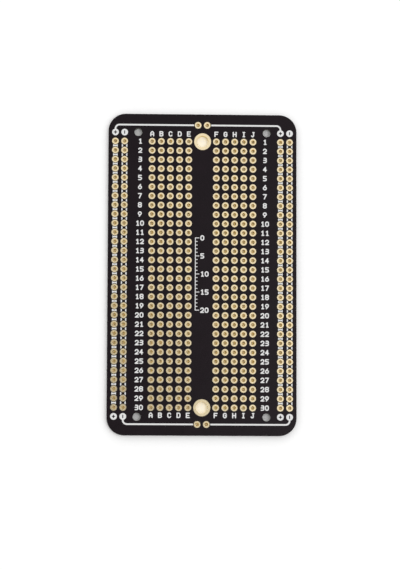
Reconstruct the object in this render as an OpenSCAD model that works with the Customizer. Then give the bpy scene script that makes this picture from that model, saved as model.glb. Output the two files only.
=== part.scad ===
// Prototype board: a laminate card with two fields of five-hole contact strips, four supply rails,
// two plated mounting holes and four plain corner holes, covered by solder mask and printed on top.
// The board lies flat with its component side up. X runs across the strips from hole A to hole J,
// Y runs from the last row to row 1, and Z = 0 is the underside, below the middle of the outline.

/* [Hole grid] */
// Distance between neighbouring hole centres
pitch = 2.54; // [2.4:0.01:2.8]
// Number of rows, each with one strip on the left and one on the right
rows = 30; // [12:1:30]
// Number of holes in each contact strip
strip_holes = 5; // [3:1:5]
// Distance across the centre channel, from the last hole on its left to the first on its right
channel = 7.62; // [7:0.01:9]
// Distance from the outermost strip hole to the inner supply rail
rail_offset = 7.62; // [7.2:0.01:9]

/* [Board] */
// Thickness of the laminate without mask
laminate_t = 1.5; // [0.8:0.1:2.4]
// Distance from the outer supply rail to the side edge
side_margin = 1.905; // [1.6:0.005:4]
// Distance from an end row to the end edge
end_margin = 7.62; // [7:0.01:10]
// Radius of the four outline corners
corner_r = 4.8; // [2:0.1:6]

/* [Lead holes] */
// Diameter of a finished lead hole, inside its plating
lead_hole_d = 1; // [0.8:0.05:1.2]
// Diameter of the pad around a lead hole
pad_d = 1.9; // [1.7:0.05:2]
// Thickness of the plated copper in pads, barrels and traces
copper_t = 0.04; // [0.03:0.005:0.045]
// Width of the traces on the underside
trace_w = 0.8; // [0.5:0.1:1]
// Distance from an end row to the pair of link holes beyond it
link_rise = 4.57; // [4.4:0.01:5.2]

/* [Mounting holes] */
// Diameter of a finished mounting hole, inside its plating
mounting_hole_d = 3.2; // [2.6:0.1:3.4]
// Diameter of the ring around a mounting hole
mounting_ring_d = 4.7; // [4.2:0.1:5]
// Diameter of the plain hole near each corner
corner_hole_d = 2.2; // [1.6:0.1:2.4]
// Distance from an end row to the corner holes beyond it
corner_hole_rise = 2.54; // [2.5:0.01:2.8]

/* [Solder mask] */
// Thickness of the mask on each side
mask_t = 0.05; // [0.05:0.005:0.1]
// Gap between the mask and the copper or hole that it leaves open
mask_gap = 0.05; // [0.02:0.01:0.1]

/* [Print] */
// Thickness of the printed ink
ink_t = 0.02; // [0.01:0.005:0.05]
// Gap between the edge of a pad and the ink beside it
ink_gap = 0.16; // [0.06:0.01:0.2]
// Width of the pen that draws the characters
pen_w = 0.32; // [0.24:0.02:0.36]
// Width of a character
glyph_w = 1.1; // [1:0.05:1.2]
// Height of a character
glyph_h = 1.5; // [1.4:0.05:1.6]
// Gap between two digits of a number
digit_gap = 0.14; // [0.1:0.02:0.3]
// Distance from the outermost strip hole to the middle of the row numbers
number_offset = 3.3; // [3:0.1:3.5]
// Distance from an end row to the middle of the column letters
letter_rise = 2.1; // [1.9:0.05:2.3]
// Width of the solid stripe along a plus rail
plus_stripe_w = 1.27; // [0.8:0.01:1.5]
// Distance between the middles of the two thin stripes along a minus rail
minus_stripe_gap = 1.2; // [1:0.05:1.3]
// Width of each thin stripe along a minus rail
minus_stripe_w = 0.35; // [0.2:0.05:0.4]
// Diameter of the disc that carries a plus or minus sign
disc_d = 1.85; // [1.6:0.05:1.9]
// Distance from an end row to the discs beyond it
disc_rise = 2.48; // [2.45:0.01:2.6]
// Length of the bars that are left open in a disc to show its sign
sign_l = 0.9; // [0.8:0.05:1.3]
// Width of the bars that are left open in a disc
sign_w = 0.28; // [0.2:0.02:0.36]
// Width of the line from a link hole to its disc
link_line_w = 0.45; // [0.3:0.05:0.6]
// Radius of the bend where a link line turns towards its disc
link_bend_r = 1.1; // [0.6:0.1:1.4]

/* [Length scale] */
// Length of the printed scale in the centre channel
scale_l = 20; // [10:5:25]
// Distance between two marks of the scale
scale_step = 1; // [1, 2.5, 5]
// Distance between two numbered marks
scale_number_step = 5; // [5, 10]
// Length of a plain mark
mark_l = 0.6; // [0.4:0.1:0.8]
// Length of a numbered mark
long_mark_l = 1.1; // [0.9:0.1:1.3]
// Width of a mark and of the line that joins the marks
mark_w = 0.2; // [0.14:0.02:0.24]
// Distance from the middle of the board to the joining line, on its left
scale_line_x = 1.9; // [1.7:0.1:2.1]
// Gap between a numbered mark and its number
scale_number_gap = 0.25; // [0.15:0.05:0.35]

/* [Hidden] */
$fn = 48;

row_names = [for (r = [1:rows]) str("contact_row_", r < 10 ? "0" : "", r)];

// Places of the holes
strip_edge_x = channel / 2 + (strip_holes - 1) * pitch;
inner_rail_x = strip_edge_x + rail_offset;
outer_rail_x = inner_rail_x + pitch;
end_row_y = (rows - 1) * pitch / 2;
link_x = pitch / 2;
link_y = end_row_y + link_rise;
corner_hole_x = strip_edge_x + rail_offset / 2;
corner_hole_y = end_row_y + corner_hole_rise;
plus_rail_x = [-outer_rail_x, inner_rail_x];
minus_rail_x = [-inner_rail_x, outer_rail_x];

// Outline of the board
board_w = 2 * (outer_rail_x + side_margin);
board_l = 2 * (end_row_y + end_margin);

// Heights of the layers
laminate_z = mask_t;
top_z = laminate_z + laminate_t;
ink_z = top_z + mask_t;

// Radius of the drilled hole that a plated barrel fills
lead_drill_r = lead_hole_d / 2 + copper_t;
mounting_drill_r = mounting_hole_d / 2 + copper_t;
// Middle of a pad's ring, where a trace ends
ring_middle_r = (lead_drill_r + pad_d / 2) / 2;

// Half the width and height of the frame that the middle of the pen keeps to
cell_x = (glyph_w - pen_w) / 2;
cell_y = (glyph_h - pen_w) / 2;
upper_bowl_r = 0.46 * cell_y;
lower_bowl_r = cell_y - upper_bowl_r;
hook_r = 0.7 * cell_x;
// Heights of the middles of both bowls, of the waist between them, and of a round top
upper_y = cell_y - upper_bowl_r;
lower_y = lower_bowl_r - cell_y;
waist_y = upper_y - upper_bowl_r;
round_y = cell_y - cell_x;
LETTERS = "ABCDEFGHIJ";

function row_y(r) = end_row_y - (r - 1) * pitch;
function strip_x(side, i) = side * (channel / 2 + i * pitch);

// Centres of all lead holes: the strips, then the rails, then the link holes
strip_holes_at = [
    for (r = [1:rows], side = [-1, 1], i = [0:strip_holes - 1]) [strip_x(side, i), row_y(r)]
];
rail_holes_at = [for (x = concat(plus_rail_x, minus_rail_x), r = [1:rows]) [x, row_y(r)]];
link_holes_at = [for (sx = [-1, 1], sy = [-1, 1]) [sx * link_x, sy * link_y]];
lead_holes_at = concat(strip_holes_at, rail_holes_at, link_holes_at);
mounting_holes_at = [[0, end_row_y], [0, -end_row_y]];
corner_holes_at = [for (sx = [-1, 1], sy = [-1, 1]) [sx * corner_hole_x, sy * corner_hole_y]];

module at_each(points) {
    for (p = points) translate(p) children();
}

module rounded_card() {
    inner_x = board_w / 2 - corner_r;
    inner_y = board_l / 2 - corner_r;
    square([board_w, 2 * inner_y], center = true);
    square([2 * inner_x, board_l], center = true);
    at_each([for (sx = [-1, 1], sy = [-1, 1]) [sx * inner_x, sy * inner_y]]) circle(r = corner_r);
}

// The board's outline with every hole widened by its own amount
module pierced_card(lead_r, mounting_r, corner_hole_r) {
    difference() {
        rounded_card();
        at_each(lead_holes_at) circle(r = lead_r);
        at_each(mounting_holes_at) circle(r = mounting_r);
        at_each(corner_holes_at) circle(r = corner_hole_r);
    }
}

module mask_outline() {
    pierced_card(pad_d / 2 + mask_gap, mounting_ring_d / 2 + mask_gap, corner_hole_d / 2 + mask_gap);
}

// A straight bar from p to q with square ends
module bar(p, q, w) {
    translate(p)
        rotate(atan2(q.y - p.y, q.x - p.x))
            translate([0, -w / 2])
                square([norm(q - p), w]);
}

// A trace between two holes: it ends in the middle of each pad's ring, clear of the drilled hole
module pad_to_pad(p, q) {
    along = (q - p) / norm(q - p);
    bar(p + ring_middle_r * along, q - ring_middle_r * along, trace_w);
}

// The route from the end of a rail to its link hole, with one round corner
module link_route(rail_x, side_y) {
    corner = [rail_x, side_y * link_y];
    bar([rail_x, side_y * (end_row_y + ring_middle_r)], corner, trace_w);
    bar(corner, [sign(rail_x) * (link_x + ring_middle_r), side_y * link_y], trace_w);
    translate(corner) circle(d = trace_w);
}

module all_traces() {
    for (r = [1:rows], side = [-1, 1])
        bar([strip_x(side, 0), row_y(r)], [strip_x(side, strip_holes - 1), row_y(r)], trace_w);
    for (x = concat(plus_rail_x, minus_rail_x))
        bar([x, -end_row_y], [x, end_row_y], trace_w);
    for (x = plus_rail_x) link_route(x, 1);
    for (x = minus_rail_x) link_route(x, -1);
}

module laminate() {
    color("#8c8a5c")
        translate([0, 0, laminate_z])
            linear_extrude(laminate_t)
                pierced_card(lead_drill_r, mounting_drill_r, corner_hole_d / 2);
}

module solder_mask_top() {
    color("#252124") translate([0, 0, top_z]) linear_extrude(mask_t) mask_outline();
}

// The underside's mask covers the traces, which lie in grooves of its inner face
module solder_mask_underside() {
    color("#252124")
        difference() {
            linear_extrude(mask_t) mask_outline();
            translate([0, 0, mask_t - copper_t]) linear_extrude(2 * copper_t) all_traces();
        }
}

// A plated hole: a barrel through the laminate with a flat ring on each face
module eyelet(hole_d, drill_r, ring_d) {
    hole_r = hole_d / 2;
    ring_r = ring_d / 2;
    translate([0, 0, laminate_z])
        rotate_extrude()
            polygon([
                [hole_r, -copper_t],
                [ring_r, -copper_t],
                [ring_r, 0],
                [drill_r, 0],
                [drill_r, laminate_t],
                [ring_r, laminate_t],
                [ring_r, laminate_t + copper_t],
                [hole_r, laminate_t + copper_t]
            ]);
}

module lead_eyelets(points) {
    for (p = points) translate(p) eyelet(lead_hole_d, lead_drill_r, pad_d);
}

module trace_layer() {
    translate([0, 0, laminate_z - copper_t]) linear_extrude(copper_t) children();
}

// One row: the strip A to E on the left and the strip F to J on the right
module row_strips(r) {
    color("#eed9b2")
        for (side = [-1, 1]) {
            holes = [for (i = [0:strip_holes - 1]) [strip_x(side, i), row_y(r)]];
            lead_eyelets(holes);
            trace_layer()
                for (i = [1:strip_holes - 1])
                    pad_to_pad(holes[i - 1], holes[i]);
        }
}

// One supply rail, joined on the underside to its link hole beyond row 1 or beyond the last row
module supply_rail(x, side_y) {
    holes = [for (r = [1:rows]) [x, row_y(r)]];
    color("#eed9b2") {
        lead_eyelets(concat(holes, [[sign(x) * link_x, side_y * link_y]]));
        trace_layer() {
            for (r = [1:rows - 1])
                pad_to_pad(holes[r - 1], holes[r]);
            link_route(x, side_y);
        }
    }
}

module left_plus_rail() {
    supply_rail(-outer_rail_x, 1);
}

module left_minus_rail() {
    supply_rail(-inner_rail_x, -1);
}

module right_plus_rail() {
    supply_rail(inner_rail_x, 1);
}

module right_minus_rail() {
    supply_rail(outer_rail_x, -1);
}

module mounting_eyelet(p) {
    color("#eed9b2") translate(p) eyelet(mounting_hole_d, mounting_drill_r, mounting_ring_d);
}

module upper_mounting_eyelet() {
    mounting_eyelet(mounting_holes_at[0]);
}

module lower_mounting_eyelet() {
    mounting_eyelet(mounting_holes_at[1]);
}

module printed() {
    color("#f4f4f2") translate([0, 0, ink_z]) linear_extrude(ink_t) children();
}

// A pen line through the points, with round ends
module pen(points) {
    for (i = [1:len(points) - 1]) bar(points[i - 1], points[i], pen_w);
    at_each(points) circle(d = pen_w);
}

// A wedge from angle a to angle b that reaches past radius r
module wedge(r, a, b) {
    steps = ceil((b - a) / 40);
    turns = [for (k = [0:steps]) a + (b - a) * k / steps];
    polygon(concat([[0, 0]], [for (t = turns) 2 * r * [cos(t), sin(t)]]));
}

module arc_band(r, a, b, w) {
    intersection() {
        difference() {
            circle(r = r + w / 2);
            circle(r = r - w / 2);
        }
        wedge(r + w, a, b);
    }
}

// A pen line along an arc around c, with round ends
module pen_arc(c, r, a, b) {
    translate(c) {
        arc_band(r, a, b, pen_w);
        at_each([for (end = [a, b]) r * [cos(end), sin(end)]]) circle(d = pen_w);
    }
}

// Half of a loop, the right half where side is 1: its two ends reach past the middle by a share of the frame
module half_bowl(y, r, side, reach = 0) {
    turn_x = side * (cell_x - r);
    pen_arc([turn_x, y], r, side > 0 ? -90 : 90, side > 0 ? 90 : 270);
    for (end_y = [y - r, y + r]) pen([[turn_x, end_y], [-side * reach * cell_x, end_y]]);
}

// A point of a character, from -1 to 1 across the frame and from -1 to 1 up it
function at(u, v) = [u * cell_x, v * cell_y];

module digit(n) {
    if (n == 0) {
        pen_arc([0, round_y], cell_x, 0, 180);
        pen_arc([0, -round_y], cell_x, 180, 360);
        for (x = [-cell_x, cell_x]) pen([[x, -round_y], [x, round_y]]);
    } else if (n == 1) {
        pen([at(-0.5, 0.62), at(0.2, 1), at(0.2, -1)]);
        pen([at(-0.4, -1), at(0.8, -1)]);
    } else if (n == 2) {
        pen_arc([0, round_y], cell_x, -35, 165);
        pen([[cell_x * cos(35), round_y - cell_x * sin(35)], at(-1, -1), at(1, -1)]);
    } else if (n == 3) {
        half_bowl(upper_y, upper_bowl_r, 1, 0.5);
        half_bowl(lower_y, lower_bowl_r, 1, 0.8);
    } else if (n == 4) {
        pen([at(0.4, -1), at(0.4, 1), at(-1, -0.35), at(1, -0.35)]);
    } else if (n == 5) {
        half_bowl(lower_y, lower_bowl_r, 1, 0.9);
        pen([[-0.9 * cell_x, waist_y], at(-0.9, 1), at(0.9, 1)]);
    } else if (n == 6) {
        pen_arc([0, -round_y], cell_x, 0, 180);
        pen_arc([0, -round_y], cell_x, 180, 360);
        pen([[cell_x * cos(155), cell_x * sin(155) - round_y], at(0.4, 1)]);
    } else if (n == 7) {
        pen([at(-1, 1), at(1, 1), at(-0.35, -1)]);
    } else if (n == 8) {
        for (side = [-1, 1]) {
            half_bowl(upper_y, upper_bowl_r, side);
            half_bowl(lower_y, lower_bowl_r, side);
        }
    } else {
        rotate(180) digit(6);
    }
}

module letter(c) {
    left_side = [at(-1, -1), at(-1, 1)];
    if (c == "A") {
        pen([at(-1, -1), at(-1, 0.35), at(-0.25, 1), at(0.25, 1), at(1, 0.35), at(1, -1)]);
        pen([at(-1, -0.25), at(1, -0.25)]);
    } else if (c == "B") {
        pen(left_side);
        half_bowl(upper_y, upper_bowl_r, 1, 1);
        half_bowl(lower_y, lower_bowl_r, 1, 1);
    } else if (c == "C" || c == "G") {
        pen_arc([0, round_y], cell_x, 20, 180);
        pen_arc([0, -round_y], cell_x, 180, c == "G" ? 360 : 340);
        pen([[-cell_x, -round_y], [-cell_x, round_y]]);
        if (c == "G") pen([[cell_x, -round_y], at(1, -0.05), at(0.25, -0.05)]);
    } else if (c == "D") {
        pen(left_side);
        for (v = [-1, 1]) pen([at(-1, v), at(0, v)]);
        pen_arc([0, round_y], cell_x, 0, 90);
        pen_arc([0, -round_y], cell_x, 270, 360);
        pen([[cell_x, -round_y], [cell_x, round_y]]);
    } else if (c == "E" || c == "F") {
        pen(left_side);
        pen([at(-1, 1), at(1, 1)]);
        pen([at(-1, 0), at(0.65, 0)]);
        if (c == "E") pen([at(-1, -1), at(1, -1)]);
    } else if (c == "H") {
        pen(left_side);
        pen([at(1, -1), at(1, 1)]);
        pen([at(-1, 0), at(1, 0)]);
    } else if (c == "I") {
        pen([at(0, -1), at(0, 1)]);
        for (v = [-1, 1]) pen([at(-0.55, v), at(0.55, v)]);
    } else {
        pen([at(-0.15, 1), at(0.85, 1)]);
        pen([at(0.4, 1), [0.4 * cell_x, hook_r - cell_y]]);
        pen_arc([0.4 * cell_x - hook_r, hook_r - cell_y], hook_r, 190, 360);
    }
}

// A number of one or two digits, with its middle or its first digit at the origin
module number(n, centred = true) {
    digits = n > 9 ? [floor(n / 10), n % 10] : [n];
    step = glyph_w + digit_gap;
    start = centred ? -step * (len(digits) - 1) / 2 : 0;
    for (k = [0:len(digits) - 1]) translate([start + k * step, 0]) digit(digits[k]);
}

module row_numbers(side) {
    printed()
        for (r = [1:rows])
            translate([side * (strip_edge_x + number_offset), row_y(r)])
                number(r);
}

module left_row_numbers() {
    row_numbers(-1);
}

module right_row_numbers() {
    row_numbers(1);
}

module column_letters(side_y) {
    printed()
        for (side = [-1, 1], i = [0:strip_holes - 1])
            translate([strip_x(side, i), side_y * (end_row_y + letter_rise)])
                letter(LETTERS[side < 0 ? strip_holes - 1 - i : strip_holes + i]);
}

module upper_column_letters() {
    column_letters(1);
}

module lower_column_letters() {
    column_letters(-1);
}

// Stripes of one width in each gap between two pads of the rails at the given places
module rail_stripes(places, w) {
    printed()
        for (x = places, r = [1:rows - 1])
            translate([x, row_y(r) - pitch / 2])
                difference() {
                    children();
                    for (side_y = [-1, 1])
                        translate([0, side_y * pitch / 2])
                            circle(r = pad_d / 2 + ink_gap);
                }
}

module plus_rail_stripes() {
    rail_stripes(plus_rail_x) square([plus_stripe_w, pitch], center = true);
}

module minus_rail_stripes() {
    rail_stripes(minus_rail_x)
        for (side = [-1, 1])
            translate([side * minus_stripe_gap / 2, 0])
                square([minus_stripe_w, pitch], center = true);
}

// A disc with its sign left open: a cross for plus, one bar along the rail for minus
module sign_disc(is_plus) {
    difference() {
        circle(d = disc_d);
        square([sign_w, sign_l], center = true);
        if (is_plus) square([sign_l, sign_w], center = true);
    }
}

// The line from a link hole that bends towards the disc of its rail
module link_line(rail_x, side_y) {
    side = sign(rail_x);
    start_x = link_x + pad_d / 2 + ink_gap;
    disc = [rail_x, side_y * (end_row_y + disc_rise)];
    bend_r = min(link_bend_r, link_rise - disc_rise);
    bend = [rail_x - side * bend_r, side_y * (link_y - bend_r)];
    quarter = side > 0 ? (side_y > 0 ? 0 : 270) : (side_y > 0 ? 90 : 180);
    difference() {
        union() {
            bar([side * start_x, side_y * link_y], [bend.x, side_y * link_y], link_line_w);
            translate(bend) arc_band(bend_r, quarter, quarter + 90, link_line_w);
            bar([rail_x, bend.y], disc, link_line_w);
        }
        translate(disc) circle(d = disc_d);
    }
}

module polarity_marks() {
    printed() {
        for (side_y = [-1, 1]) {
            for (x = plus_rail_x) translate([x, side_y * (end_row_y + disc_rise)]) sign_disc(true);
            for (x = minus_rail_x) translate([x, side_y * (end_row_y + disc_rise)]) sign_disc(false);
        }
        for (x = plus_rail_x) link_line(x, 1);
        for (x = minus_rail_x) link_line(x, -1);
    }
}

// A plain scale in millimetres, numbered from its upper end
module centre_scale() {
    number_x = long_mark_l + scale_number_gap + glyph_w / 2;
    printed()
        translate([-scale_line_x, scale_l / 2]) {
            translate([-mark_w / 2, -scale_l - mark_w / 2]) square([mark_w, scale_l + mark_w]);
            for (d = [0:scale_step:scale_l])
                translate([0, -d - mark_w / 2])
                    square([d % scale_number_step == 0 ? long_mark_l : mark_l, mark_w]);
            for (d = [0:scale_number_step:scale_l])
                translate([number_x, -d])
                    number(d, centred = false);
        }
}

laminate();
solder_mask_top();
solder_mask_underside();
for (r = [1:rows]) row_strips(r);
left_plus_rail();
left_minus_rail();
right_plus_rail();
right_minus_rail();
upper_mounting_eyelet();
lower_mounting_eyelet();
left_row_numbers();
right_row_numbers();
upper_column_letters();
lower_column_letters();
plus_rail_stripes();
minus_rail_stripes();
polarity_marks();
centre_scale();
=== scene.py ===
"""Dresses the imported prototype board: new meshes for the plated holes and the traces, and procedural
finishes for the laminate, the solder mask and the white print.

Every length is in metres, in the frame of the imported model.
"""

import math

import bpy
import numpy as np
from bpy.props import FloatProperty, FloatVectorProperty, IntProperty, PointerProperty
from bpy.types import Operator, Panel, PropertyGroup
from mathutils import Matrix, Vector


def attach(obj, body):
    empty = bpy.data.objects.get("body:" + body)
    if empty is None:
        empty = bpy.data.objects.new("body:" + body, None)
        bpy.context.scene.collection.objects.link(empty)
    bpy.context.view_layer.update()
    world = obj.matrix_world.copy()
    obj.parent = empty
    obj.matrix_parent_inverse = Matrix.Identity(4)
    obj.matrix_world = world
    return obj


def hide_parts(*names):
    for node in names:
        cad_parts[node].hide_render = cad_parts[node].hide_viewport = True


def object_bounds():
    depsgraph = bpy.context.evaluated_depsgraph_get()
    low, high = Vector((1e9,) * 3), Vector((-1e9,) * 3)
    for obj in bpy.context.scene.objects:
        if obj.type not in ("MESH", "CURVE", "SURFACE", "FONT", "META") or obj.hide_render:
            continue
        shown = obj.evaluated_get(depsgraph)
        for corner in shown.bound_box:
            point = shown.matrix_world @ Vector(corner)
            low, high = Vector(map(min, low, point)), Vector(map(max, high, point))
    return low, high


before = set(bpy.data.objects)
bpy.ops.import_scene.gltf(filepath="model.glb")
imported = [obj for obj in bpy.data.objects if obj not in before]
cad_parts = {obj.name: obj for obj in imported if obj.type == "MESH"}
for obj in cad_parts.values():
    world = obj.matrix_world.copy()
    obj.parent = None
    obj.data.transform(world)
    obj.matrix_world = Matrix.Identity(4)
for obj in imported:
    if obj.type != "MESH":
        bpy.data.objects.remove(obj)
cad_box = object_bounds()

bl_info = {
    "name": "Prototype board",
    "version": (1, 0, 0),
    "blender": (4, 5, 0),
    "location": "3D View > Sidebar > Board",
    "description": "Builds the plated holes, traces, solder mask and print of a bare prototype board",
    "category": "Object",
}

MM = 0.001
# A trace's share of the copper's thickness, so that its face isn't level with that of the rings.
TRACE_SHARE = 0.95
# Half width of the floor, its drop below the board, and the soft edge of the white that is added to it.
FLOOR_REACH = 3.0
FLOOR_GAP = 0.01 * MM
LIFT_EDGE = 0.3 * MM
# Name, power property, place, and width and height of each lamp.
LAMPS = (
    ("key_lamp", "key_power", (-0.2, 0.64, 0.74), (1.5, 0.7)),
    ("high_lamp", "high_power", (0.36, -0.05, 0.93), (0.4, 0.4)),
    ("back_lamp", "back_power", (0.0, 1.0, 0.33), (1.8, 0.6)),
)
INK_NODES = (
    "left_row_numbers",
    "right_row_numbers",
    "upper_column_letters",
    "lower_column_letters",
    "plus_rail_stripes",
    "minus_rail_stripes",
    "polarity_marks",
    "centre_scale",
)


def length(name, description, default_mm, **limits):
    """A length property in metres, from its default in millimetres."""
    return FloatProperty(
        name=name,
        description=description,
        default=default_mm * MM,
        unit="LENGTH",
        precision=5,
        **limits,
    )


def tint(name, description, default):
    """A colour property that holds linear red, green and blue."""
    return FloatVectorProperty(
        name=name,
        description=description,
        default=default,
        size=3,
        min=0,
        max=1,
        subtype="COLOR",
    )


class BoardSizes(PropertyGroup):
    """The sizes that the plated holes, the traces and the floor's pattern are worked out from."""

    rows: IntProperty(name="Rows", description="Number of rows of holes", default=30, min=1)
    strip_holes: IntProperty(
        name="Strip holes", description="Number of holes in each contact strip", default=5, min=2
    )
    pitch: length("Pitch", "Distance between neighbouring hole centres", 2.54)
    channel: length("Channel", "Distance across the centre channel between hole centres", 7.62)
    rail_offset: length("Rail offset", "Distance from the outermost strip hole to the inner rail", 7.62)
    link_rise: length("Link rise", "Distance from an end row to the link holes beyond it", 4.57)
    outline_round: length("Outline round", "Corner radius of the board's outline", 4.8)
    laminate_low: length("Laminate underside", "Height of the laminate's underside", 0.05)
    laminate_high: length("Laminate top", "Height of the laminate's top", 1.55)
    copper: length("Copper", "Thickness of the plated copper", 0.04)
    hole: length("Lead hole", "Diameter of a finished lead hole", 1.0)
    pad: length("Pad", "Diameter of the pad around a lead hole", 1.9)
    mounting_hole: length("Mounting hole", "Diameter of a finished mounting hole", 3.2)
    mounting_ring: length("Mounting ring", "Diameter of the ring around a mounting hole", 4.7)
    trace: length("Trace", "Width of the traces on the underside", 0.8)
    knee: length("Knee", "Roundness where a barrel turns into its ring", 0.05)
    rim: length("Rim", "Slope at the outer edge of a ring", 0.02)
    lead_segments: IntProperty(
        name="Lead segments", description="Faces around one lead hole", default=12, min=8
    )
    mounting_segments: IntProperty(
        name="Mounting segments", description="Faces around one mounting hole", default=64, min=16
    )


class BoardFinish(PropertyGroup):
    """The colours and the polish of the board's materials."""

    mask_tint: tint("Mask", "Colour of the cured solder mask", (0.0050, 0.0014, 0.0035))
    mask_over_copper: tint(
        "Mask over copper", "Colour of the mask where a trace lies under it", (0.019, 0.0135, 0.016)
    )
    mask_polish: FloatProperty(
        name="Mask roughness", description="Roughness of the solder mask", default=0.28, min=0, max=1
    )
    plating_tint: tint("Plating", "Colour of the thin gold plating", (0.85, 0.715, 0.465))
    # Painted light: the bores get a deeper, more saturated gold than the rings, standing in for the light
    # that bounces between the gold walls inside the holes.
    bore_bounce_tint: tint("Bore", "Colour of the plating inside the holes", (1.0, 0.78, 0.2))
    plating_polish: FloatProperty(
        name="Plating roughness", description="Roughness of the plating", default=0.14, min=0, max=1
    )
    bore_polish: FloatProperty(
        name="Bore roughness",
        description="Roughness of the plating inside the holes",
        default=0.06,
        min=0,
        max=1,
    )
    ink_tint: tint("Ink", "Colour of the printed ink", (0.84, 0.84, 0.835))
    resin_tint: tint("Resin", "Colour of the resin between the glass plies", (0.030, 0.026, 0.020))
    glass_tint: tint("Glass", "Colour of the cut glass plies", (0.085, 0.078, 0.062))
    thread: length("Thread", "Width of one thread bundle of the glass cloth", 0.45)
    ply: length("Ply", "Thickness of one ply of the laminate", 0.19)
    screen: length("Screen", "Width of one thread of the printing screen", 0.09)


class BoardStage(PropertyGroup):
    """The camera, the floor, the lamps and the surroundings."""

    camera_place: FloatVectorProperty(
        name="Camera",
        description="Place of the camera",
        default=(-0.02509, -0.06409, 0.62819),
        subtype="TRANSLATION",
        unit="LENGTH",
    )
    camera_aim: FloatVectorProperty(
        name="Aim",
        description="Direction in which the camera looks",
        default=(0.03889, 0.09688, -0.99454),
        subtype="DIRECTION",
    )
    camera_up: FloatVectorProperty(
        name="Up",
        description="Direction that is up in the picture",
        default=(-0.00734, 0.99529, 0.09667),
        subtype="DIRECTION",
    )
    lens: FloatProperty(
        name="Lens", description="Focal length on a 36 mm picture side", default=144.56, unit="CAMERA"
    )
    floor_tint: tint("Floor", "Colour of the floor", (0.98, 0.98, 0.98))
    key_power: FloatProperty(
        name="Key", description="Power of the large lamp up beyond row 1", default=1.3, unit="POWER"
    )
    high_power: FloatProperty(
        name="High", description="Power of the small lamp high on the right", default=1.6, unit="POWER"
    )
    back_power: FloatProperty(
        name="Back", description="Power of the low lamp beyond row 1", default=1.2, unit="POWER"
    )
    # This white also lights the floor seen through the two mounting holes, as painted light.
    floor_lift: FloatProperty(
        name="Ground lift", description="White added to the ground around the board", default=0.13
    )
    sky: FloatProperty(name="Surroundings", description="Brightness of the surroundings", default=1.0)
    sky_share: FloatProperty(
        name="Light share",
        description="Share of the surroundings' brightness that lights dull faces",
        default=0.72,
    )
    sky_dim: FloatProperty(
        name="Dim patch", description="Brightness inside the dim patch", default=0.22
    )
    dim_middle: FloatVectorProperty(
        name="Patch middle",
        description="Direction of the dim patch's middle",
        default=(-0.09, 0.0, 0.99),
        subtype="DIRECTION",
    )
    dim_inner: FloatProperty(
        name="Patch inside",
        description="Angle from the patch's middle to where it starts to brighten",
        default=math.radians(4),
        subtype="ANGLE",
    )
    dim_outer: FloatProperty(
        name="Patch outside",
        description="Angle from the patch's middle to where it is as bright as the rest",
        default=math.radians(9.4),
        subtype="ANGLE",
    )


def quad_rings(rings, around, wrap_rings):
    """Faces of a grid of rings, where point (i, j) is number i * around + j.

    A face joins the points (i, j), (i + 1, j), (i + 1, j + 1) and (i, j + 1).
    Index j wraps round to 0, and i does too if asked.
    """
    i, j = np.meshgrid(np.arange(rings if wrap_rings else rings - 1), np.arange(around), indexing="ij")
    k, m = (i + 1) % rings, (j + 1) % around
    return np.stack([i * around + j, k * around + j, k * around + m, i * around + m], -1).reshape(-1, 4)


def eyelet_profile(hole_r, ring_r, s):
    """Closed outline of a plated hole as (radius, height) pairs, upwards in the bore.

    The bore runs at hole_r between two knees, and each ring is flat from its knee to its sloping rim.
    The plating lies on the laminate out to ring_r, and against the drilled wall at hole_r + copper.
    """
    low, high = s.laminate_low - s.copper, s.laminate_high + s.copper
    drill_r = hole_r + s.copper
    upper = [
        (hole_r, high - s.knee),
        (hole_r + s.knee, high),
        (ring_r - s.rim, high),
        (ring_r, s.laminate_high),
        (drill_r, s.laminate_high),
    ]
    lower = [
        (drill_r, s.laminate_low),
        (ring_r, s.laminate_low),
        (ring_r - s.rim, low),
        (hole_r + s.knee, low),
        (hole_r, low + s.knee),
    ]
    return np.array(upper + lower)


def eyelets(centres, profile, segments):
    """Plated holes at the given centres.

    Point (c, i, j) is centre c plus (r_i cos t_j, r_i sin t_j, z_i), where t_j = 2 pi j / segments.
    Returns points, faces and a smooth flag for each face, which is set for the bore and its two knees.
    """
    t = 2 * math.pi * np.arange(segments) / segments
    r, z = profile[:, 0], profile[:, 1]
    rim = np.stack([np.outer(r, np.cos(t)), np.outer(r, np.sin(t)), np.outer(z, np.ones(segments))], -1)
    offsets = np.column_stack([centres, np.zeros(len(centres))])
    points = rim[None] + offsets[:, None, None, :]
    ring_faces = quad_rings(len(profile), segments, True)
    step = len(profile) * segments
    faces = ring_faces[None] + (np.arange(len(centres)) * step)[:, None, None]
    smooth = np.zeros((len(profile), segments), bool)
    smooth[[0, -2, -1]] = True
    return points.reshape(-1, 3), faces.reshape(-1, 4), np.tile(smooth.ravel(), len(centres))


def bars(paths, width, low, high):
    """Flat traces: a rectangle of the given width, from low to high, carried along each path of n points.

    At a path point it stands square to the mean direction of the two legs that meet there. It is widened
    by one over the cosine of half the turn, so that both legs keep their width. One face closes each end.
    """
    legs = np.diff(paths, axis=1)
    legs /= np.linalg.norm(legs, axis=2, keepdims=True)
    before = np.concatenate([legs[:, :1], legs], 1)
    after = np.concatenate([legs, legs[:, -1:]], 1)
    mean = before + after
    mean /= np.linalg.norm(mean, axis=2, keepdims=True)
    stretch = width / 2 / np.sum(mean * after, axis=2, keepdims=True)
    side = np.stack([-mean[..., 1], mean[..., 0]], -1) * stretch
    corners = np.stack([paths + side, paths - side, paths - side, paths + side], 2)
    heights = np.broadcast_to(np.array([low, low, high, high])[:, None], corners.shape[:3] + (1,))
    points = np.concatenate([corners, heights], -1)
    count, n = paths.shape[:2]
    last = 4 * n - 1
    caps = [[0, 1, 2, 3], [last, last - 1, last - 2, last - 3]]
    faces = np.concatenate([quad_rings(n, 4, False), caps])
    faces = faces[None] + (np.arange(count) * 4 * n)[:, None, None]
    faces = faces.reshape(-1, 4)
    return points.reshape(-1, 3), faces, np.zeros(len(faces), bool)


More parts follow.
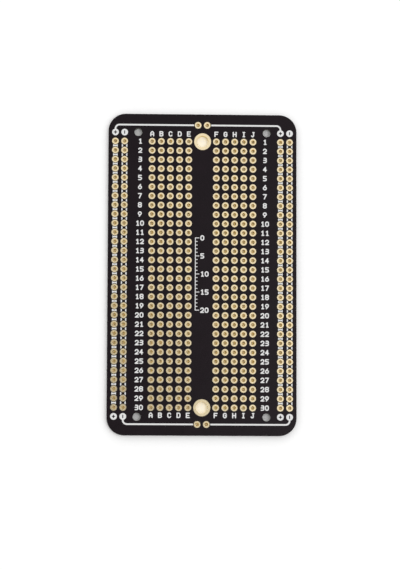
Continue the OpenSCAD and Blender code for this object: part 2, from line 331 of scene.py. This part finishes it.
def joined(parts):
    """Points, faces and smooth flags of several meshes as one, with the faces' point numbers moved on."""
    points, faces, smooth = zip(*parts)
    starts = np.cumsum([0] + [len(part) for part in points[:-1]])
    faces = [part + start for part, start in zip(faces, starts)]
    return np.concatenate(points), np.concatenate(faces), np.concatenate(smooth)


def new_piece(name, points, faces, smooth, material):
    """A mesh object at the origin from arrays of points, four-sided faces and smooth flags."""
    mesh = bpy.data.meshes.new(name)
    mesh.vertices.add(len(points))
    mesh.vertices.foreach_set("co", np.asarray(points, np.float32).ravel())
    mesh.loops.add(faces.size)
    mesh.loops.foreach_set("vertex_index", np.asarray(faces, np.int32).ravel())
    mesh.polygons.add(len(faces))
    mesh.polygons.foreach_set("loop_start", np.arange(0, faces.size, 4, dtype=np.int32))
    mesh.polygons.foreach_set("use_smooth", np.asarray(smooth, bool))
    mesh.update(calc_edges=True)
    mesh.validate()
    mesh.materials.append(material)
    piece = bpy.data.objects.new(name, mesh)
    bpy.context.scene.collection.objects.link(piece)
    return piece


def grid_places(s):
    """Y of the rows from row 1 down, X of a strip's holes outwards, and X of the inner and outer rail.

    Rows, the holes of a strip and the two rails of a pair are one pitch apart, centred on the origin.
    """
    row_y = s.pitch * ((s.rows - 1) / 2 - np.arange(s.rows))
    strip_x = s.channel / 2 + s.pitch * np.arange(s.strip_holes)
    inner = strip_x[-1] + s.rail_offset
    return row_y, strip_x, np.array([inner, inner + s.pitch])


def ring_middle(s):
    """Distance from a lead hole's centre to the middle of its ring, where a trace ends."""
    return (s.hole / 2 + s.copper + s.pad / 2) / 2


def trace_heights(s):
    """Lowest and highest height of a trace, a hair above the lower face of the rings that it joins."""
    return s.laminate_low - TRACE_SHARE * s.copper, s.laminate_low


def pad_to_pad(places, s):
    """Straight traces between neighbouring places of one line, from ring to ring."""
    legs = np.diff(places, axis=0)
    legs /= np.linalg.norm(legs, axis=1, keepdims=True)
    reach = ring_middle(s) * legs
    paths = np.stack([places[:-1] + reach, places[1:] - reach], 1)
    return bars(paths, s.trace, *trace_heights(s))


def link_route(x, side, s):
    """Trace from the end of the rail at x to its link hole: outwards, a quarter turn, and inwards.

    With w the trace's width, the turn's points are its corner plus w (cos a - 1, sin a - 1), for nine
    angles a from 0 to 90 degrees. It is worked out for the right side beyond row 1, and then mirrored.
    """
    end_y = grid_places(s)[0][0]
    link_y = end_y + s.link_rise
    a = np.linspace(0, math.pi / 2, 9)
    turn = np.column_stack([abs(x) + s.trace * (np.cos(a) - 1), link_y + s.trace * (np.sin(a) - 1)])
    start = [[abs(x), end_y + ring_middle(s)]]
    end = [[s.pitch / 2 + ring_middle(s), link_y]]
    path = np.concatenate([start, turn, end]) * [math.copysign(1, x), side]
    return bars(path[None], s.trace, *trace_heights(s))


class Wiring:
    """One node tree, with short ways to add its nodes and to feed their sockets."""

    def __init__(self, tree):
        self.tree = tree

    def add(self, kind, **settings):
        """A new node with the given settings."""
        node = self.tree.nodes.new(kind)
        for key, value in settings.items():
            setattr(node, key, value)
        return node

    def feed(self, socket, value):
        """Joins an output to the socket, or sets the socket to a plain value."""
        if isinstance(value, bpy.types.NodeSocket):
            self.tree.links.new(value, socket)
        else:
            socket.default_value = value

    def calc(self, operation, *values, clamp=False):
        """The result of a math node."""
        node = self.add("ShaderNodeMath", operation=operation, use_clamp=clamp)
        for socket, value in zip(node.inputs, values):
            self.feed(socket, value)
        return node.outputs[0]

    def split(self, vector):
        """X, Y and Z of a vector."""
        node = self.add("ShaderNodeSeparateXYZ")
        self.feed(node.inputs[0], vector)
        return [node.outputs[axis] for axis in "XYZ"]

    def blend(self, factor, low, high):
        """A colour that runs from low to high with the factor, where each end is a tint or an output."""
        mix = self.add("ShaderNodeMix", data_type="RGBA")
        self.feed(mix.inputs["Factor"], factor)
        for end, colour in (("A", low), ("B", high)):
            is_output = isinstance(colour, bpy.types.NodeSocket)
            self.feed(mix.inputs[end], colour if is_output else (*colour, 1))
        return mix.outputs["Result"]


def pattern_group(name, output, **inputs):
    """A new node group that works out one value from a position and the given inputs with their defaults.

    Returns its wiring, the outputs that hand on its inputs, and the socket that takes its result.
    """
    group = bpy.data.node_groups.new(name, "ShaderNodeTree")
    group.interface.new_socket("Position", in_out="INPUT", socket_type="NodeSocketVector")
    for label, default in inputs.items():
        socket = group.interface.new_socket(label, in_out="INPUT", socket_type="NodeSocketFloat")
        socket.default_value = default
    group.interface.new_socket(output, in_out="OUTPUT", socket_type="NodeSocketFloat")
    wires = Wiring(group)
    return wires, wires.add("NodeGroupInput").outputs, wires.add("NodeGroupOutput").inputs[output]


def mottle_group():
    """Fine uneven tone: two noises, one ten times finer, added and centred on a middle value."""
    if "fine_mottle" in bpy.data.node_groups:
        return bpy.data.node_groups["fine_mottle"]
    wires, given, result = pattern_group("fine_mottle", "Value", Size=4 * MM, Middle=0.5, Spread=0.1)
    noises = []
    for fineness in (1.0, 10.0):
        noise = wires.add("ShaderNodeTexNoise")
        wires.feed(noise.inputs["Vector"], given["Position"])
        wires.feed(noise.inputs["Scale"], wires.calc("DIVIDE", fineness, given["Size"]))
        wires.feed(noise.inputs["Detail"], 3)
        noises.append(noise.outputs["Fac"])
    coarse, fine = noises
    both = wires.calc("ADD", coarse, wires.calc("MULTIPLY", fine, 0.5))
    # Each noise is centred on 0.5, so the coarse one and half of the fine one are centred on 0.75.
    swing = wires.calc("MULTIPLY", wires.calc("SUBTRACT", both, 0.75), given["Spread"])
    wires.feed(result, wires.calc("ADD", swing, given["Middle"]))
    return wires.tree


def weave_group():
    """Height of plain-woven cloth: cell by cell, the round back of a thread along Y or of one along X."""
    if "woven_cloth" in bpy.data.node_groups:
        return bpy.data.node_groups["woven_cloth"]
    wires, given, result = pattern_group("woven_cloth", "Height", Thread=0.45 * MM)
    backs, cells = [], []
    for way in wires.split(given["Position"])[:2]:
        across = wires.calc("DIVIDE", way, given["Thread"])
        backs.append(wires.calc("ABSOLUTE", wires.calc("SINE", wires.calc("MULTIPLY", across, math.pi))))
        cells.append(wires.calc("FLOOR", across))
    mix = wires.add("ShaderNodeMix", data_type="FLOAT")
    wires.feed(mix.inputs["Factor"], wires.calc("FLOORED_MODULO", wires.calc("ADD", *cells), 2.0))
    wires.feed(mix.inputs["A"], backs[0])
    wires.feed(mix.inputs["B"], backs[1])
    wires.feed(result, mix.outputs["Result"])
    return wires.tree


def trace_group(s):
    """Mask that is 1 over the underside's traces: strips, rails, and the routes to the link holes.

    A band is its half width less the distance to its middle line, over a soft edge of a tenth of a
    trace's width, held between 0 and 1.
    """
    if "trace_lines" in bpy.data.node_groups:
        return bpy.data.node_groups["trace_lines"]
    wires, given, result = pattern_group("trace_lines", "Mask")
    calc = wires.calc
    row_y, strip_x, rail_x = (list(map(float, places)) for places in grid_places(s))
    half, soft = s.trace / 2, s.trace / 10
    end_y, link_y = row_y[0], row_y[0] + s.link_rise

    def band(distance, reach):
        return calc("MULTIPLY", calc("SUBTRACT", reach, distance), 1 / soft, clamp=True)

    def off(value, middle):
        return calc("ABSOLUTE", calc("SUBTRACT", value, middle))

    x, y, _ = wires.split(given["Position"])
    aside, along = calc("ABSOLUTE", x), calc("ABSOLUTE", y)
    # The strips and rails, up to the end rows.
    from_row = calc("MULTIPLY", off(calc("FRACT", calc("DIVIDE", y, s.pitch)), 0.5), s.pitch)
    strip_middle = (strip_x[0] + strip_x[-1]) / 2
    in_strip = band(off(aside, strip_middle), strip_x[-1] - strip_middle)
    strip = calc("MULTIPLY", band(from_row, half), in_strip)
    rail_middle = sum(rail_x) / 2
    rail = band(off(off(aside, rail_middle), s.pitch / 2), half)
    field = calc("MULTIPLY", calc("MAXIMUM", strip, rail), band(along, end_y + half))
    # Past row 1 the left rail of each pair runs on to its link hole, and past the last row the right one.
    lean = calc("MULTIPLY", calc("SIGN", y), s.pitch / 2)
    reach = calc("ABSOLUTE", calc("ADD", x, lean))
    past_row = band(off(along, (end_y + link_y) / 2), s.link_rise / 2)
    stub = calc("MULTIPLY", band(off(reach, rail_middle), half), past_row)
    from_link = band(calc("SUBTRACT", s.pitch, aside), s.pitch / 2)
    to_rail = band(reach, rail_middle + half)
    across = calc("MULTIPLY", band(off(along, link_y), half), calc("MULTIPLY", from_link, to_rail))
    wires.feed(result, calc("MAXIMUM", field, calc("MAXIMUM", across, stub)))
    return wires.tree


class Surface(Wiring):
    """A material with a Principled BSDF, whose patterns follow the object's own coordinates."""

    def __init__(self, name):
        self.material = bpy.data.materials.new(name)
        self.material.use_nodes = True
        super().__init__(self.material.node_tree)
        self.shader = next(node for node in self.tree.nodes if node.type == "BSDF_PRINCIPLED")
        self.place = self.add("ShaderNodeTexCoord").outputs["Object"]

    def put(self, name, value):
        """Feeds one of the shader's own sockets."""
        self.feed(self.shader.inputs[name], value)

    def pattern(self, group, **inputs):
        """The result of a pattern group with the given inputs."""
        node = self.add("ShaderNodeGroup", node_tree=group)
        self.feed(node.inputs["Position"], self.place)
        for label, value in inputs.items():
            self.feed(node.inputs[label], value)
        return node.outputs[0]

    def mottle(self, size, middle, spread):
        """A value around the middle that is uneven over the given size."""
        return self.pattern(mottle_group(), Size=size, Middle=middle, Spread=spread)

    def emboss(self, height, distance, strength=1.0):
        """Feeds a height into the shader's normal through a bump."""
        bump = self.add("ShaderNodeBump")
        self.feed(bump.inputs["Height"], height)
        self.feed(bump.inputs["Distance"], distance)
        self.feed(bump.inputs["Strength"], strength)
        self.put("Normal", bump.outputs["Normal"])


def shade(colour, factor):
    """A colour times a factor, no brighter than white."""
    return [min(1.0, factor * part) for part in colour]


def solder_mask_finish(name, finish, s, over_traces):
    """Cured mask: near black, softly glossy, with the cloth's faint weave and a relief over traces."""
    surface = Surface(name)
    surface.put("Specular IOR Level", 0.14)
    tone = surface.mottle(size=6 * MM, middle=0.5, spread=1.2)
    colour = surface.blend(tone, shade(finish.mask_tint, 0.8), shade(finish.mask_tint, 1.25))
    weave = surface.pattern(weave_group(), Thread=finish.thread)
    grain = surface.mottle(size=0.9 * MM, middle=0.5, spread=1.0)
    height = surface.calc("MULTIPLY_ADD", weave, 0.25, grain)
    if over_traces:
        traces = surface.pattern(trace_group(s))
        colour = surface.blend(traces, colour, finish.mask_over_copper)
        height = surface.calc("MULTIPLY_ADD", traces, 10.0, height)
    surface.put("Base Color", colour)
    surface.put("Roughness", surface.mottle(size=3 * MM, middle=finish.mask_polish, spread=0.12))
    surface.emboss(height, distance=0.004 * MM)
    return surface.material


def laminate_finish(finish):
    """Glass-epoxy: thin plies of cut glass in resin on the edge and on the drilled walls, roughly cut.

    A ply is the absolute sine of pi times the height over one ply's thickness, which wavers a little.
    """
    surface = Surface("glass_epoxy_laminate")
    surface.put("Specular IOR Level", 0.4)
    _, _, z = surface.split(surface.place)
    waver = surface.mottle(size=2.5 * MM, middle=0.0, spread=0.9)
    level = surface.calc("ADD", surface.calc("DIVIDE", z, finish.ply), waver)
    ply = surface.calc("ABSOLUTE", surface.calc("SINE", surface.calc("MULTIPLY", level, math.pi)))
    specks = surface.mottle(size=0.4 * MM, middle=0.0, spread=1.1)
    cut = surface.calc("ADD", ply, specks)
    surface.put("Base Color", surface.blend(cut, finish.resin_tint, finish.glass_tint))
    surface.put("Roughness", surface.mottle(size=0.8 * MM, middle=0.62, spread=0.2))
    surface.emboss(cut, distance=0.02 * MM, strength=0.7)
    return surface.material


def ink_finish(finish):
    """Screen-printed ink: matt white, thinner here and there, with the screen's fine mesh in its face."""
    surface = Surface("white_ink")
    surface.put("Specular IOR Level", 0.35)
    cover = surface.mottle(size=1.2 * MM, middle=0.62, spread=1.0)
    surface.put("Base Color", surface.blend(cover, shade(finish.ink_tint, 0.86), finish.ink_tint))
    surface.put("Roughness", surface.mottle(size=1 * MM, middle=0.55, spread=0.15))
    screen = surface.pattern(weave_group(), Thread=finish.screen)
    surface.emboss(screen, distance=0.003 * MM, strength=0.6)
    return surface.material


def plating_finish(finish, s):
    """Thin gold over copper, metal with a tone that varies a little from hole to hole.

    The rings are satin with a fine etched grain. The bores, between the laminate's faces, are smoother,
    and their deeper gold is painted light for the light that bounces inside the holes.
    """
    known = bpy.data.materials.get("plated_copper_finish")
    if known:
        return known
    surface = Surface("plated_copper_finish")
    surface.put("Metallic", 1.0)
    tone = surface.mottle(size=3.5 * MM, middle=0.5, spread=1.6)
    ring_tint = surface.blend(tone, shade(finish.plating_tint, 0.95), shade(finish.plating_tint, 1.05))
    middle = (s.laminate_low + s.laminate_high) / 2
    inner = s.laminate_high - middle - s.knee
    _, _, z = surface.split(surface.place)
    depth = surface.calc("ABSOLUTE", surface.calc("SUBTRACT", z, middle))
    face = surface.calc("DIVIDE", surface.calc("SUBTRACT", depth, inner), s.knee, clamp=True)
    # Painted light: the bores' deeper gold stands in for the light that bounces inside the holes.
    surface.put("Base Color", surface.blend(face, finish.bore_bounce_tint, ring_tint))
    added = surface.mottle(size=2.2 * MM, middle=finish.plating_polish - finish.bore_polish, spread=0.1)
    surface.put("Roughness", surface.calc("MULTIPLY_ADD", face, added, finish.bore_polish))
    grain = surface.mottle(size=0.35 * MM, middle=0.5, spread=1.0)
    surface.emboss(surface.calc("MULTIPLY", grain, face), distance=0.003 * MM, strength=0.6)
    return surface.material


def floor_finish(stage, s):
    """Pale paper, with a little white added for camera rays alone, as in an overexposed ground.

    The white is added beyond the board's rounded outline, and under the two mounting holes, where it is
    painted light that brightens the shaded floor seen through them. The way past the outline is the
    distance from the rectangle between the corner centres, less the corner radius.
    """
    surface = Surface("floor_paper")
    calc = surface.calc
    tone = surface.mottle(size=50 * MM, middle=0.5, spread=0.5)
    surface.put("Base Color", surface.blend(tone, shade(stage.floor_tint, 0.995), stage.floor_tint))
    surface.put("Roughness", 0.9)
    surface.put("Specular IOR Level", 0.1)
    aside, along = (calc("ABSOLUTE", way) for way in surface.split(surface.place)[:2])
    corner_x, corner_y = (edge - s.outline_round for edge in cad_box[1][:2])
    past_x = calc("MAXIMUM", calc("SUBTRACT", aside, corner_x), 0.0)
    past_y = calc("MAXIMUM", calc("SUBTRACT", along, corner_y), 0.0)
    square = calc("ADD", calc("MULTIPLY", past_x, past_x), calc("MULTIPLY", past_y, past_y))
    past = calc("SUBTRACT", calc("SQRT", square), s.outline_round)
    beyond = calc("DIVIDE", past, LIFT_EDGE, clamp=True)
    end_y = float(grid_places(s)[0][0])
    ring_middle_r = (s.mounting_hole + s.mounting_ring) / 4
    from_hole = calc("MAXIMUM", aside, calc("ABSOLUTE", calc("SUBTRACT", along, end_y)))
    # Painted light: the floor under each mounting hole gets the camera-ray white too, which brightens the
    # shade inside the hole.
    hole_painted_light = calc("LESS_THAN", from_hole, ring_middle_r)
    camera_ray = surface.add("ShaderNodeLightPath").outputs["Is Camera Ray"]
    lift = calc("MULTIPLY", camera_ray, stage.floor_lift)
    surface.put("Emission Strength", calc("MULTIPLY", calc("MAXIMUM", beyond, hole_painted_light), lift))
    surface.put("Emission Color", (1, 1, 1, 1))
    return surface.material


def dress_node(name, material):
    """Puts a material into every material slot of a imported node."""
    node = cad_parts[name]
    if not node.material_slots:
        node.data.materials.append(material)
    for slot in node.material_slots:
        slot.material = material


def stand_for(node, shape, s):
    """Makes a plated piece from its arrays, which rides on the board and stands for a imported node."""
    piece = new_piece(f"{node}_plating", *shape, plating_finish(bpy.context.scene.board_finish, s))
    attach(piece, "root")
    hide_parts(node)


def plate(node, centres, s, paths):
    """Makes the plated lead holes at the centres and the given traces as one piece."""
    profile = eyelet_profile(s.hole / 2, s.pad / 2, s)
    stand_for(node, joined([eyelets(centres, profile, s.lead_segments), *paths]), s)


class BOARD_OT_dress_laminate(Operator):
    """Give the laminate its cut glass edge"""

    bl_idname = "board.dress_laminate"
    bl_label = "Dress laminate"

    def execute(self, context):
        dress_node("laminate", laminate_finish(context.scene.board_finish))
        return {"FINISHED"}


class BOARD_OT_dress_solder_mask(Operator):
    """Give both faces their black solder mask"""

    bl_idname = "board.dress_solder_mask"
    bl_label = "Dress solder mask"

    def execute(self, context):
        finish, sizes = context.scene.board_finish, context.scene.board_sizes
        for node, over_traces in (("solder_mask_top", False), ("solder_mask_underside", True)):
            dress_node(node, solder_mask_finish(f"{node}_finish", finish, sizes, over_traces))
        return {"FINISHED"}


class BOARD_OT_dress_print(Operator):
    """Give the numbers, letters, stripes, signs and scale their white ink"""

    bl_idname = "board.dress_print"
    bl_label = "Dress print"

    def execute(self, context):
        ink = ink_finish(context.scene.board_finish)
        for node in INK_NODES:
            dress_node(node, ink)
        return {"FINISHED"}


class BOARD_OT_plate_contact_rows(Operator):
    """Make the plated holes and the traces of every contact row"""

    bl_idname = "board.plate_contact_rows"
    bl_label = "Plate contact rows"

    def execute(self, context):
        s = context.scene.board_sizes
        row_y, strip_x, _ = grid_places(s)
        for number, y in enumerate(row_y, 1):
            strips = [np.column_stack([side * strip_x, np.full(s.strip_holes, y)]) for side in (-1, 1)]
            paths = [pad_to_pad(strip, s) for strip in strips]
            plate(f"contact_row_{number:02d}", np.concatenate(strips), s, paths)
        return {"FINISHED"}


class BOARD_OT_plate_supply_rails(Operator):
    """Make the plated holes and the traces of the four supply rails, with their link holes"""

    bl_idname = "board.plate_supply_rails"
    bl_label = "Plate supply rails"

    def execute(self, context):
        s = context.scene.board_sizes
        row_y, _, (inner, outer) = grid_places(s)
        link_y = row_y[0] + s.link_rise
        rails = (
            ("left_plus_rail", -outer, 1),
            ("left_minus_rail", -inner, -1),
            ("right_plus_rail", inner, 1),
            ("right_minus_rail", outer, -1),
        )
        for node, x, side in rails:
            line = np.column_stack([np.full(s.rows, x), row_y])
            link = [[math.copysign(s.pitch / 2, x), side * link_y]]
            paths = [pad_to_pad(line, s), link_route(x, side, s)]
            plate(node, np.concatenate([line, link]), s, paths)
        return {"FINISHED"}


class BOARD_OT_plate_mounting_holes(Operator):
    """Make the two wide plated mounting holes"""

    bl_idname = "board.plate_mounting_holes"
    bl_label = "Plate mounting holes"

    def execute(self, context):
        s = context.scene.board_sizes
        end_y = grid_places(s)[0][0]
        profile = eyelet_profile(s.mounting_hole / 2, s.mounting_ring / 2, s)
        for node, y in (("upper_mounting_eyelet", end_y), ("lower_mounting_eyelet", -end_y)):
            stand_for(node, eyelets(np.array([[0, y]]), profile, s.mounting_segments), s)
        return {"FINISHED"}


class BOARD_OT_set_stage(Operator):
    """Set the camera, the pale floor, the surroundings and the three lamps"""

    bl_idname = "board.set_stage"
    bl_label = "Set stage"

    def execute(self, context):
        scene, stage = context.scene, context.scene.board_stage
        scene.view_settings.view_transform = "Standard"
        self.place_camera(scene, stage)
        self.lay_floor(floor_finish(stage, scene.board_sizes))
        self.light_surroundings(scene, stage)
        for name, power, place, size in LAMPS:
            self.hang_lamp(scene, name, place, size, getattr(stage, power))
        return {"FINISHED"}

    @staticmethod
    def place_camera(scene, stage):
        """The camera. Its axes are the stated up, the aim turned round, and the direction across both."""
        data = bpy.data.cameras.new("camera")
        data.lens = stage.lens
        data.sensor_width = 36
        data.sensor_fit = "AUTO"
        data.clip_start = 0.01
        data.clip_end = 20
        camera = bpy.data.objects.new("camera", data)
        back = -Vector(stage.camera_aim).normalized()
        across = Vector(stage.camera_up).cross(back).normalized()
        up = back.cross(across)
        turn = Matrix((across, up, back)).transposed().to_4x4()
        camera.matrix_world = Matrix.Translation(stage.camera_place) @ turn
        scene.collection.objects.link(camera)
        scene.camera = camera

    @staticmethod
    def lay_floor(material):
        """A flat square floor just under the board."""
        corners = np.array([[-1, -1], [1, -1], [1, 1], [-1, 1]]) * FLOOR_REACH
        points = np.column_stack([corners, np.full(4, -FLOOR_GAP)])
        floor = new_piece("floor", points, np.array([[0, 1, 2, 3]]), np.zeros(1, bool), material)

    @staticmethod
    def light_surroundings(scene, stage):
        """White surroundings with a round dim patch overhead, whose edge is a smooth step in brightness.

        The camera and polished faces see them at full strength, and all else gets a share of their light.
        """
        world = bpy.data.worlds.new("surroundings")
        world.use_nodes = True
        scene.world = world
        wires = Wiring(world.node_tree)
        toward = wires.add("ShaderNodeVectorMath", operation="DOT_PRODUCT")
        wires.feed(toward.inputs[0], wires.add("ShaderNodeTexCoord").outputs["Generated"])
        wires.feed(toward.inputs[1], Vector(stage.dim_middle).normalized())
        edge = wires.add("ShaderNodeMapRange", interpolation_type="SMOOTHSTEP")
        wires.feed(edge.inputs["Value"], toward.outputs["Value"])
        wires.feed(edge.inputs["From Min"], math.cos(stage.dim_outer))
        wires.feed(edge.inputs["From Max"], math.cos(stage.dim_inner))
        wires.feed(edge.inputs["To Min"], stage.sky)
        wires.feed(edge.inputs["To Max"], stage.sky_dim)
        ray = wires.add("ShaderNodeLightPath").outputs
        polished = wires.calc("MAXIMUM", ray["Is Glossy Ray"], ray["Is Transmission Ray"])
        seen = wires.calc("MAXIMUM", ray["Is Camera Ray"], polished)
        share = wires.calc("MULTIPLY_ADD", seen, 1 - stage.sky_share, stage.sky_share)
        background = next(node for node in world.node_tree.nodes if node.type == "BACKGROUND")
        wires.feed(background.inputs["Color"], (1, 1, 1, 1))
        wires.feed(background.inputs["Strength"], wires.calc("MULTIPLY", edge.outputs["Result"], share))

    @staticmethod
    def hang_lamp(scene, name, place, size, power):
        """A rectangular lamp that faces the middle of the board."""
        data = bpy.data.lights.new(name, "AREA")
        data.shape = "RECTANGLE"
        data.size, data.size_y = size
        data.energy = power
        lamp = bpy.data.objects.new(name, data)
        lamp.location = place
        lamp.rotation_euler = Vector(place).to_track_quat("Z", "Y").to_euler()
        scene.collection.objects.link(lamp)


OPERATORS = (
    BOARD_OT_dress_laminate,
    BOARD_OT_dress_solder_mask,
    BOARD_OT_dress_print,
    BOARD_OT_plate_contact_rows,
    BOARD_OT_plate_supply_rails,
    BOARD_OT_plate_mounting_holes,
    BOARD_OT_set_stage,
)


class BOARD_PT_sidebar(Panel):
    """Lists the steps that build the board"""

    bl_idname = "BOARD_PT_sidebar"
    bl_label = "Prototype board"
    bl_space_type = "VIEW_3D"
    bl_region_type = "UI"
    bl_category = "Board"

    def draw(self, context):
        for operator in OPERATORS:
            self.layout.operator(operator.bl_idname)


CLASSES = (BoardSizes, BoardFinish, BoardStage, *OPERATORS, BOARD_PT_sidebar)


def register():
    for cls in CLASSES:
        bpy.utils.register_class(cls)
    bpy.types.Scene.board_sizes = PointerProperty(type=BoardSizes)
    bpy.types.Scene.board_finish = PointerProperty(type=BoardFinish)
    bpy.types.Scene.board_stage = PointerProperty(type=BoardStage)


def unregister():
    del bpy.types.Scene.board_stage
    del bpy.types.Scene.board_finish
    del bpy.types.Scene.board_sizes
    for cls in reversed(CLASSES):
        bpy.utils.unregister_class(cls)


def main():
    register()
    bpy.ops.board.set_stage()
    bpy.ops.board.dress_laminate()
    bpy.ops.board.dress_solder_mask()
    bpy.ops.board.dress_print()
    bpy.ops.board.plate_contact_rows()
    bpy.ops.board.plate_supply_rails()
    bpy.ops.board.plate_mounting_holes()


if __name__ == "__main__":
    main()
